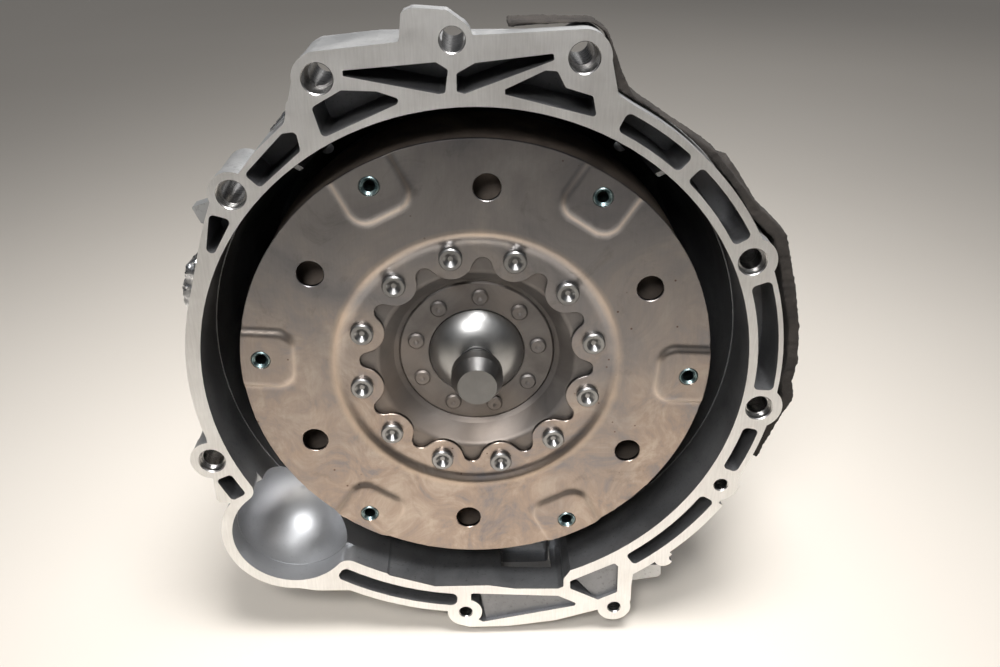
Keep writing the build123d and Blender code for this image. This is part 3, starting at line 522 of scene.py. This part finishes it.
def smooth_by_angle(mesh, degrees):
    """Shade smooth, with edges sharper than the angle kept crisp."""
    for polygon in mesh.polygons:
        polygon.use_smooth = True
    mesh.set_sharp_from_angle(angle=math.radians(degrees))


def copied_mesh(node, name):
    mesh = NODES[node].data.copy()
    mesh.name = name
    return mesh


def turned_y(point, angle):
    """(x, z) turned about the converter's axis."""
    x, z = point
    return (x * math.cos(angle) - z * math.sin(angle), x * math.sin(angle) + z * math.cos(angle))


# --- Bell housing: the casting with its machined, cast and bored surfaces told apart ---

def near_boss(x, z):
    """Whether (x, z) is inside a bolt boss's drilled seat."""
    for bx, bz in LARGE_BOSSES:
        if math.hypot(x - bx * MM, z - bz * MM) < SEAT_R:
            return True
    return any(math.hypot(x - bx * MM, z - bz * MM) < SMALL_SEAT_R for bx, bz in SMALL_BOSSES)


def inside_bell(centre, normal, tree):
    """Whether a face is taken as the bell's inside: close to an axis, or facing it with nothing between."""
    x, y, z = centre
    if math.hypot(x, z) < OPENING_R or math.hypot(x - STARTER_X, z - STARTER_Z) < STARTER_R:
        return True
    if not 1 * MM < y < BELL_DEPTH:
        return False
    to_axis = Vector((-x, 0, -z)).normalized()
    if math.hypot(x, z) < RIB_FOOT_R:
        return True
    start = centre + normal * PROBE_GAP
    return normal.dot(to_axis) > -0.2 and tree.ray_cast(start, to_axis, BELL_REACH)[0] is None


def surface_class(centre, normal, tree):
    """Which of the casting's surfaces a face belongs to, as an index into CASTING_PAINT."""
    x, y, z = centre
    on_front = normal.y < -0.99 and y < FACE_TOLERANCE
    on_back = normal.y > 0.99 and y > HOUSING_BACK - FACE_TOLERANCE
    if on_front or on_back:
        return FACE_SLOT
    if near_boss(x, z) and y < BOSS_DEPTH:
        return BORE_SLOT
    # This test and the first one in inside_bell go by place alone, whichever way the face looks,
    # so they also take in the outer wall where that is as close to an axis
    in_bell = math.hypot(x, z) < RIB_FOOT_R or math.hypot(x - STARTER_X, z - STARTER_Z) < STARTER_R + 1 * MM
    if 2 * MM < y < BELL_DEPTH and in_bell:
        return BELL_SLOT
    if y < BELL_DEPTH + 10 * MM and normal.y < 0.5 and inside_bell(centre, normal, tree):
        return BELL_SLOT
    if abs(y - SHALLOW_DEPTH) < 0.3 * MM and normal.y < -0.9:
        return LEDGE_SLOT
    if not 0 < y < POCKET_DEPTH + 1 * MM:
        return OUTSIDE_SLOT
    start = centre + normal * PROBE_GAP
    if normal.y < -0.9:
        ways = [Vector((math.cos(turn), 0, math.sin(turn))) for turn in (0.3, 1.9, 3.4, 5.0)]
        walls = [tree.ray_cast(start, way, POCKET_REACH) for way in ways]
        open_front = tree.ray_cast(start, Vector((0, -1, 0)), POCKET_DEPTH + 12 * MM)[0] is None
        return POCKET_SLOT if open_front and all(hit[0] is not None for hit in walls) else OUTSIDE_SLOT
    if abs(normal.y) < 0.4 and tree.ray_cast(start, normal, WALL_REACH)[0] is not None:
        return POCKET_SLOT
    return OUTSIDE_SLOT


def welded_casting():
    """The CAD casting with shared points welded: points, faces, corner normals and surface classes."""
    source = NODES["bell_housing"].data
    normals = [Vector(n.vector) for n in source.corner_normals]
    tree = BVHTree.FromPolygons([v.co for v in source.vertices], [p.vertices for p in source.polygons])
    welded, index_of, points = {}, [], []
    for vertex in source.vertices:
        key = tuple(round(c * WELD_STEPS_PER_METRE) for c in vertex.co)
        if key not in welded:
            welded[key] = len(points)
            points.append(vertex.co.copy())
        index_of.append(welded[key])
    faces, loops, classes = [], [], []
    for polygon in source.polygons:
        corners = [index_of[v] for v in polygon.vertices]
        if len(set(corners)) < 3:
            continue
        faces.append(corners)
        loops.append([normals[i] for i in polygon.loop_indices])
        classes.append(surface_class(polygon.center, polygon.normal, tree))
    return points, faces, loops, classes


def chamfer_front_face(points, faces, loops, classes):
    """Breaks the edges of the machined engine face, in place."""
    front = [i for i, kind in enumerate(classes) if kind == FACE_SLOT and points[faces[i][0]].y < 1 * MM]
    directed = {(faces[i][k], faces[i][(k + 1) % 3]) for i in front for k in range(3)}
    border = [(a, b) for a, b in directed if (b, a) not in directed]
    sides = {}
    for a, b in border:
        along = (points[b] - points[a]).normalized()
        side = Vector((along.z, 0, -along.x))
        sides.setdefault(a, []).append(side)
        sides.setdefault(b, []).append(side)
    inner = {}
    for index, ways in sides.items():
        mean = sum(ways, Vector()).normalized()
        reach = CHAMFER / max(0.5, mean.dot(ways[0]))
        inner[index] = len(points)
        points.append(points[index] + mean * reach)
    for i in front:
        faces[i] = [inner.get(v, v) for v in faces[i]]
    for index in sides:
        points[index] = points[index] + Vector((0, CHAMFER, 0))
    for a, b in border:
        slope = (sides[a][0] * -1 + Vector((0, -1, 0))).normalized()
        faces.append([a, inner[a], inner[b], b][::-1])
        loops.append([slope] * 4)
        classes.append(FACE_SLOT)


def housing_piece():
    points, faces, loops, classes = welded_casting()
    chamfer_front_face(points, faces, loops, classes)
    mesh = bpy.data.meshes.new("bell_casting")
    mesh.from_pydata(points, [], faces)
    for material in CASTING_PAINT:
        mesh.materials.append(material)
    mesh.polygons.foreach_set("material_index", classes)
    mesh.polygons.foreach_set("use_smooth", [True] * len(faces))
    mesh.normals_split_custom_set([n for loop in loops for n in loop])
    return new_piece("bell_casting", mesh, "housing", "cast_aluminium", "bell_housing")


# --- Drive plate: one pressed sheet with a ring step, six pads and a scalloped bore ---

def smooth_step(value):
    value = min(1.0, max(0.0, value))
    return value * value * (3 - 2 * value)


def pad_rise(x, z):
    """How far the nearest insert pad stands forward at (x, z)."""
    angle = math.atan2(z, x) - PHASE
    sector = 2 * math.pi / PAD_COUNT
    u, v = turned_y((x, z), -PHASE - round(angle / sector) * sector)
    du = max(0.0, PAD_START_R + PAD_CORNER - u)
    dv = max(0.0, abs(v) - PAD_HALF_WIDTH + PAD_CORNER)
    outside = math.hypot(du, dv) - PAD_CORNER
    return PAD_RISE * smooth_step(1 - outside / PAD_SLOPE)


def plate_depth(x, z):
    """The plate's front surface as Y."""
    step = smooth_step((STEP_OUTER_R - math.hypot(x, z)) / (STEP_OUTER_R - STEP_INNER_R))
    return PLATE_FRONT + STEP_DEPTH * step - pad_rise(x, z)


def circle(radius, count, x=0.0, z=0.0):
    return [(x + radius * math.cos(2 * math.pi * i / count), z + radius * math.sin(2 * math.pi * i / count))
            for i in range(count)]


def arc(centre, radius, start, end, count):
    return [(centre[0] + radius * math.cos(start + (end - start) * i / count),
             centre[1] + radius * math.sin(start + (end - start) * i / count)) for i in range(count)]


def scalloped_bore(inset):
    """The inner edge: a lobe round each screw and a scallop between, both moved into the sheet by inset."""
    points = []
    turn = 2 * math.pi / SCREW_COUNT
    lobe = (SCREW_PITCH_R, 0.0)
    scallop = turned_y((SCALLOP_PITCH_R, 0.0), turn / 2)
    towards = math.atan2(scallop[1] - lobe[1], scallop[0] - lobe[0])
    for index in range(SCREW_COUNT):
        lobe_arc = arc(lobe, LOBE_R - inset, 2 * math.pi - towards, towards, LOBE_STEPS)
        scallop_arc = arc(scallop, SCALLOP_R + inset, towards - math.pi, math.pi + turn - towards,
                          SCALLOP_STEPS)
        around = PHASE + turn / 2 + turn * index
        points += [turned_y(p, around) for p in lobe_arc + scallop_arc]
    return points


def plate_holes():
    """Every round hole in the plate as (x, z, radius)."""
    sector = 2 * math.pi / PAD_COUNT
    holes = []
    for index in range(PAD_COUNT):
        holes.append((*turned_y((INSERT_PITCH_R, 0.0), PHASE + sector * index), INSERT_R))
        holes.append((*turned_y((ACCESS_PITCH_R, 0.0), PHASE + sector * (index + 0.5)), ACCESS_R))
    return holes


def grid_points(spacing):
    """Rings of points over the plate, kept clear of its edges."""
    points = []
    ring_count = int((PLATE_R - LOBES_START_R) / spacing)
    holes = plate_holes()
    screws = [turned_y((SCREW_PITCH_R, 0.0), PHASE + math.pi / 12 + 2 * math.pi / SCREW_COUNT * i)
              for i in range(SCREW_COUNT)]
    for ring in range(ring_count):
        radius = LOBES_START_R + spacing * (ring + 0.5)
        if radius > PLATE_R - RIM_GAP:
            continue
        count = int(2 * math.pi * radius / spacing)
        for index in range(count):
            x, z = turned_y((radius, 0.0), 2 * math.pi * (index + 0.5 * (ring % 2)) / count)
            if any(math.hypot(x - hx, z - hz) < hr + GRID_GAP for hx, hz, hr in holes):
                continue
            lobed = any(math.hypot(x - sx, z - sz) < LOBE_R - GRID_GAP for sx, sz in screws)
            if radius < LOBES_END_R and not lobed:
                continue
            points.append((x, z))
    return points


def mark(x, z):
    """A point's place rounded, so that it can be found again."""
    return (round(x, 7), round(z, 7))


def plate_outline():
    """The edge lines and bevel lines: points, the edges that join them, and the marks of the edge lines."""
    loops = [
        (circle(PLATE_R, RIM_STEPS), True), (circle(PLATE_R - EDGE_BEVEL, RIM_STEPS), False),
        (scalloped_bore(0.0), True), (scalloped_bore(EDGE_BEVEL), False),
    ]
    for x, z, radius in plate_holes():
        loops.append((circle(radius, HOLE_STEPS, x, z), True))
        loops.append((circle(radius + EDGE_BEVEL, HOLE_STEPS, x, z), False))
    flat, edges, edge_marks = [], [], set()
    for loop, on_edge in loops:
        first = len(flat)
        flat += loop
        edges += [(first + i, first + (i + 1) % len(loop)) for i in range(len(loop))]
        if on_edge:
            edge_marks.update(mark(x, z) for x, z in loop)
    return flat, edges, edge_marks


def in_plate(x, z, bore):
    """Whether (x, z) is sheet metal and not a hole."""
    if math.hypot(x, z) > PLATE_R or inside_loop(x, z, bore):
        return False
    return not any(math.hypot(x - hx, z - hz) < hr * INSIDE_HOLE for hx, hz, hr in plate_holes())


def drive_plate_piece():
    flat, edges, edge_marks = plate_outline()
    flat += grid_points(GRID_SPACING)
    verts, _, faces, *_ = delaunay_2d_cdt([Vector(p) for p in flat], edges, [], 0, MERGE_DISTANCE, False)
    bore = scalloped_bore(0.0)
    shape = bmesh.new()
    front, back = [], []
    for point in verts:
        x, z = point
        depth = plate_depth(x, z)
        bevel = EDGE_BEVEL if mark(x, z) in edge_marks else 0.0
        front.append(shape.verts.new((x, depth + bevel, z)))
        back.append(shape.verts.new((x, depth + PLATE_THICKNESS - bevel, z)))
    for face in faces:
        cx = sum(verts[i].x for i in face) / len(face)
        cz = sum(verts[i].y for i in face) / len(face)
        if in_plate(cx, cz, bore):
            shape.faces.new([front[i] for i in face])
            shape.faces.new([back[i] for i in reversed(face)])
    loose = [v for v in shape.verts if not v.link_faces]
    bmesh.ops.delete(shape, geom=loose, context="VERTS")
    partner = {}
    for a, b in zip(front, back):
        if a.is_valid and b.is_valid:
            partner[a] = b
    open_edges = [e for e in shape.edges if len(e.link_faces) == 1 and all(v in partner for v in e.verts)]
    for edge in open_edges:
        a, b = edge.verts
        shape.faces.new((a, b, partner[b], partner[a]))
    bmesh.ops.recalc_face_normals(shape, faces=shape.faces)
    mesh = bpy.data.meshes.new("drive_plate_pressing")
    shape.to_mesh(mesh)
    shape.free()
    mesh.materials.append(PLATE_STEEL)
    smooth_by_angle(mesh, 32)
    return new_piece("drive_plate_pressing", mesh, "converter", "bare_steel", "drive_plate")


def inside_loop(x, z, loop):
    """Whether (x, z) is inside a closed loop of points."""
    radius = math.hypot(x, z)
    if radius > SCREW_PITCH_R + 1.7 * MM:
        return False
    if radius < LOBES_START_R - 3 * MM:
        return True
    inside = False
    j = len(loop) - 1
    for i in range(len(loop)):
        xi, zi = loop[i]
        xj, zj = loop[j]
        if (zi > z) != (zj > z) and x < (xj - xi) * (z - zi) / (zj - zi) + xi:
            inside = not inside
        j = i
    return inside


# --- Hub: a turned shape with soft forged radii ---

def rounded(points, bends, steps=7):
    """A profile of (radius, Y) points with each inner corner rounded by its own radius."""
    path = [Vector(points[0])]
    for before, corner, after, bend in zip(points, points[1:], points[2:], bends):
        corner = Vector(corner)
        back, ahead = (Vector(before) - corner).normalized(), (Vector(after) - corner).normalized()
        half = back.angle(ahead) / 2
        reach = bend / math.tan(half)
        centre = corner + (back + ahead).normalized() * (bend / math.sin(half))
        first, last = corner + back * reach - centre, corner + ahead * reach - centre
        for step in range(steps + 1):
            path.append(centre + first.slerp(last, step / steps) * bend)
    path.append(Vector(points[-1]))
    return path


def lathe(name, profile, segments, material):
    """A closed (radius, Y) profile turned about the Y axis."""
    verts, faces = [], []
    count = len(profile)
    for index in range(segments):
        turn = 2 * math.pi * index / segments
        verts += [(r * math.cos(turn), y, r * math.sin(turn)) for r, y in profile]
    for index in range(segments):
        a, b = index * count, (index + 1) % segments * count
        faces += [(a + k, b + k, b + (k + 1) % count, a + (k + 1) % count) for k in range(count)]
    mesh = bpy.data.meshes.new(name)
    mesh.from_pydata([Vector(v) for v in verts], [], faces)
    shape = bmesh.new()
    shape.from_mesh(mesh)
    bmesh.ops.recalc_face_normals(shape, faces=shape.faces)
    shape.to_mesh(mesh)
    shape.free()
    mesh.materials.append(material)
    smooth_by_angle(mesh, 35)
    return mesh


def hub_piece():
    """The hub flange, from (radius, Y) in mm: flat under the lobes, then rolling over into its recess."""
    front = [(84, 18), (60.5, 18), (51.5, 29.5), (48.5, 31.8), (48.5, 35)]
    back = [(8.02, 35), (8.02, 41), (44, 41), (44, 50), (50, 50), (50, 33.2), (60, 33.2), (60, 26), (84, 26)]
    bends = [5 * MM, 3 * MM, 0.6 * MM]
    profile = rounded([(r * MM, y * MM) for r, y in front], bends) + [(r * MM, y * MM) for r, y in back]
    mesh = lathe("hub_forging", profile, HUB_STEPS, HUB_STEEL)
    return new_piece("hub_forging", mesh, "converter", "bare_steel", "hub_flange")


# --- Felt mat and foil patches ---

def remeshed(node, name, voxel, smoothing):
    """A node's solid as an even mesh with its edges rounded off."""
    mesh = copied_mesh(node, name)
    helper = bpy.data.objects.new(name + "_source", mesh)
    bpy.context.scene.collection.objects.link(helper)
    remesh = helper.modifiers.new("remesh", "REMESH")
    remesh.mode = "VOXEL"
    remesh.voxel_size = voxel
    smooth = helper.modifiers.new("smooth", "SMOOTH")
    smooth.factor = 0.5
    smooth.iterations = smoothing
    graph = bpy.context.evaluated_depsgraph_get()
    made = bpy.data.meshes.new_from_object(helper.evaluated_get(graph))
    bpy.data.objects.remove(helper)
    made.name = name
    made.materials.clear()
    return made


def displaced(mesh, amount):
    """Moves each point along its normal by a function of its place."""
    normals = [v.normal.copy() for v in mesh.vertices]
    for vertex, normal in zip(mesh.vertices, normals):
        vertex.co += normal * amount(vertex.co)
    mesh.update()


def felt_piece():
    mesh = remeshed("noise_mat", "noise_mat_felt", 1.3 * MM, 5)

    def fuzz(place):
        lump = noise.noise(place * 60) * 0.5 * MM
        tuft = noise.fractal(place * 380, 0.9, 2.1, 3) * 0.4 * MM
        return lump + tuft - 0.4 * MM

    displaced(mesh, fuzz)
    mesh.materials.append(FELT)
    smooth_by_angle(mesh, 60)
    piece = new_piece("noise_mat_felt", mesh, "housing", "felt", "noise_mat")
    return piece


def foil_piece():
    mesh = remeshed("foil_patches", "foil_blanket", 1.1 * MM, 3)

    def crumple(place):
        cell = noise.cell_vector(place * 130)
        crease = abs(noise.noise(place * 95 + cell * 0.3)) * 2.2 * MM
        return crease + noise.noise(place * 330) * 0.5 * MM - 0.8 * MM

    displaced(mesh, crumple)
    mesh.materials.append(FOIL)
    smooth_by_angle(mesh, 25)
    piece = new_piece("foil_blanket", mesh, "housing", "foil", "foil_patches")
    return piece


# --- Stage ---

def make_camera():
    camera = bpy.data.objects.new("camera", bpy.data.cameras.new("camera"))
    bpy.context.scene.collection.objects.link(camera)
    forward = Vector(CAMERA_FORWARD).normalized()
    right = forward.cross(Vector(CAMERA_UP)).normalized()
    up = right.cross(forward)
    turn = Matrix((right, up, -forward)).transposed()
    camera.matrix_world = Matrix.Translation(CAMERA_PLACE) @ turn.to_4x4()
    camera.data.sensor_width = SENSOR_WIDTH
    camera.data.lens = LENS_LENGTH
    camera.data.clip_start = 0.01
    bpy.context.scene.camera = camera


def make_floor():
    half = FLOOR_HALF_WIDTH
    corners = [(-half, -half, 0), (half, -half, 0), (half, half, 0), (-half, half, 0)]
    mesh = bpy.data.meshes.new("floor")
    mesh.from_pydata(corners, [], [(0, 1, 2, 3)])
    mesh.materials.append(floor_paint())
    floor = bpy.data.objects.new("floor", mesh)
    floor.location.z = FLOOR_Z
    bpy.context.scene.collection.objects.link(floor)


def area_light(name, place, target, size, power, spread=180):
    data = bpy.data.lights.new(name, "AREA")
    data.size = size
    data.energy = power
    data.spread = math.radians(spread)
    light = bpy.data.objects.new(name, data)
    light.location = place
    light.rotation_mode = "QUATERNION"
    light.rotation_quaternion = (Vector(target) - Vector(place)).to_track_quat("-Z", "Y")
    bpy.context.scene.collection.objects.link(light)


def make_lights():
    area_light("overhead", (0.11, -0.25, 1.25), (0.02, 0.12, -0.2), 0.55, 5.2, spread=80)
    area_light("front_fill", (-0.25, -1.0, 0.95), (-0.05, 0, -0.02), 0.35, 1.3, spread=50)
    area_light("back", (0.6, 1.6, 1.3), (0, 0.1, 0), 1.2, 6)
    world = bpy.data.worlds.new("world")
    world.use_nodes = True
    tree = world.node_tree
    coords = tree.nodes.new("ShaderNodeTexCoord")
    parts = tree.nodes.new("ShaderNodeSeparateXYZ")
    ramp = tree.nodes.new("ShaderNodeValToRGB")
    tree.links.new(coords.outputs["Generated"], parts.inputs[0])
    tree.links.new(parts.outputs["Z"], ramp.inputs["Fac"])
    ramp.color_ramp.elements[0].color = (0.10, 0.105, 0.115, 1)
    ramp.color_ramp.elements[1].color = (0.95, 0.96, 0.98, 1)
    ramp.color_ramp.elements[0].position = 0.15
    ramp.color_ramp.elements[1].position = 0.9
    background = tree.nodes["Background"]
    tree.links.new(ramp.outputs["Color"], background.inputs["Color"])
    background.inputs["Strength"].default_value = 0.30
    bpy.context.scene.world = world
    bpy.context.scene.view_settings.view_transform = "Standard"


make_camera()
make_floor()
make_lights()
paint_cad_nodes()
housing_piece()
drive_plate_piece()
hub_piece()
felt_piece()
foil_piece()
